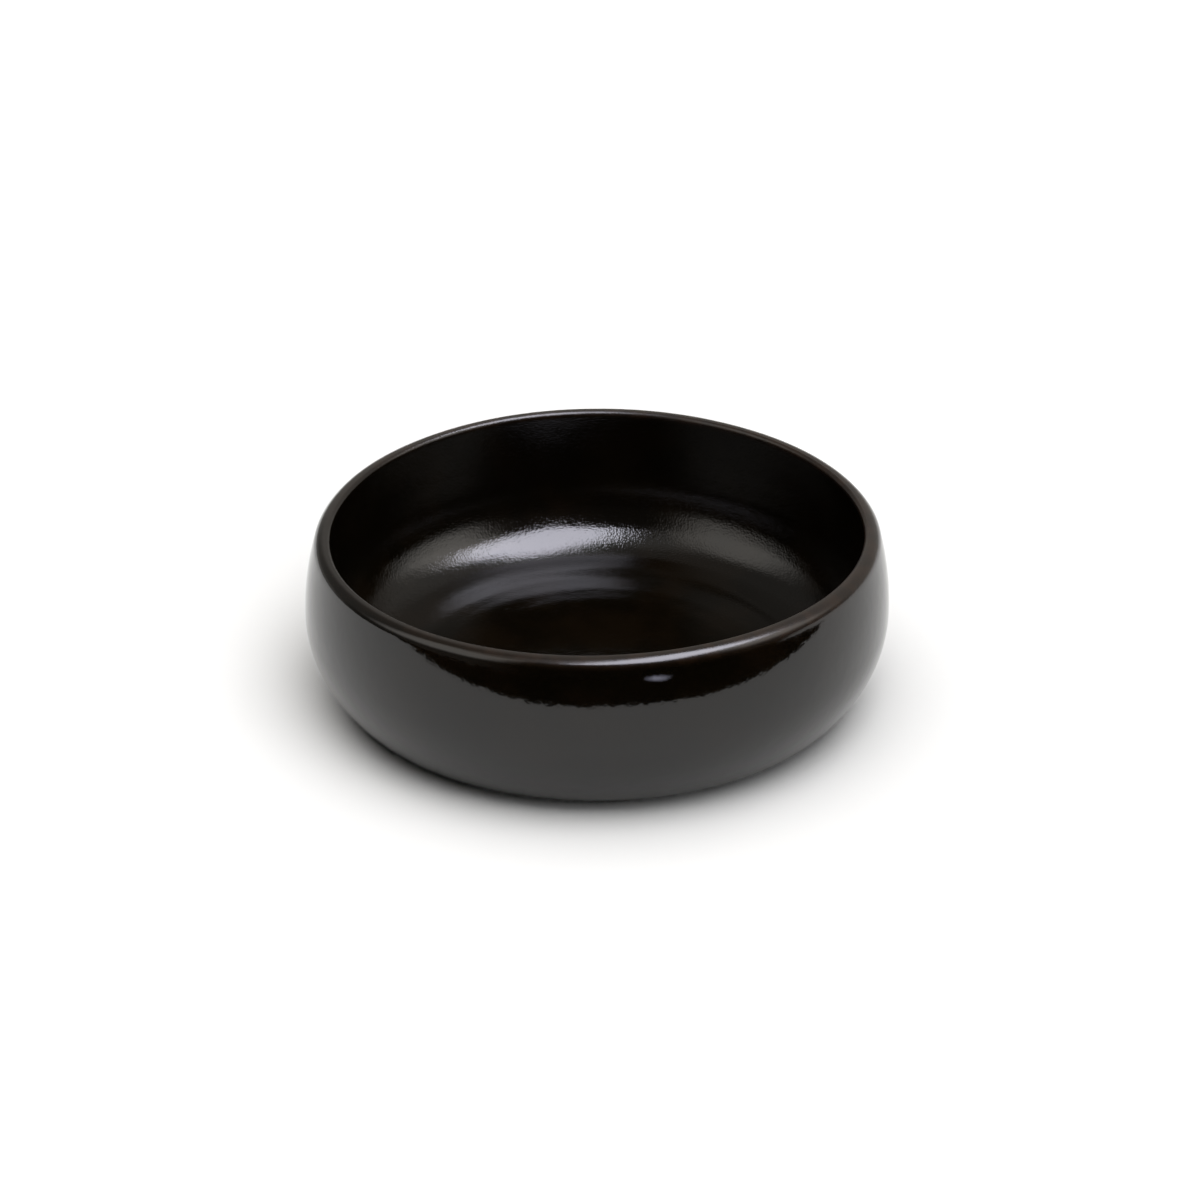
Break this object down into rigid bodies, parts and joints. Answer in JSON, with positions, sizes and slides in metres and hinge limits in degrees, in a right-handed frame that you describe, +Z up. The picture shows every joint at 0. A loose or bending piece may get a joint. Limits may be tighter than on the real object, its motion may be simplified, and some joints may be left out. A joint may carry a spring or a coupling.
{
  "type": "clay bowl",
  "caption": "Low, wide round clay bowl with an inward-leaning rounded lip, a bulging belly and a low foot ring, under a gloss black glaze.",
  "frame": {"origin": "centre of the foot ring, on the plane the bowl stands on", "axes": "+Z up the bowl's axis of rotation, X and Y across the bowl"},
  "size_m": [0.2, 0.2, 0.0605],
  "materials": {
    "bare_clay": "matte",
    "black_glaze": "gloss"
  },
  "bodies": {
    "root": {"base_slab": "bare_clay", "wall": "bare_clay", "rim_coil": "bare_clay", "foot_ring": "bare_clay", "inner_glaze": "black_glaze", "outer_glaze": "black_glaze"}
  },
  "joints": []
}
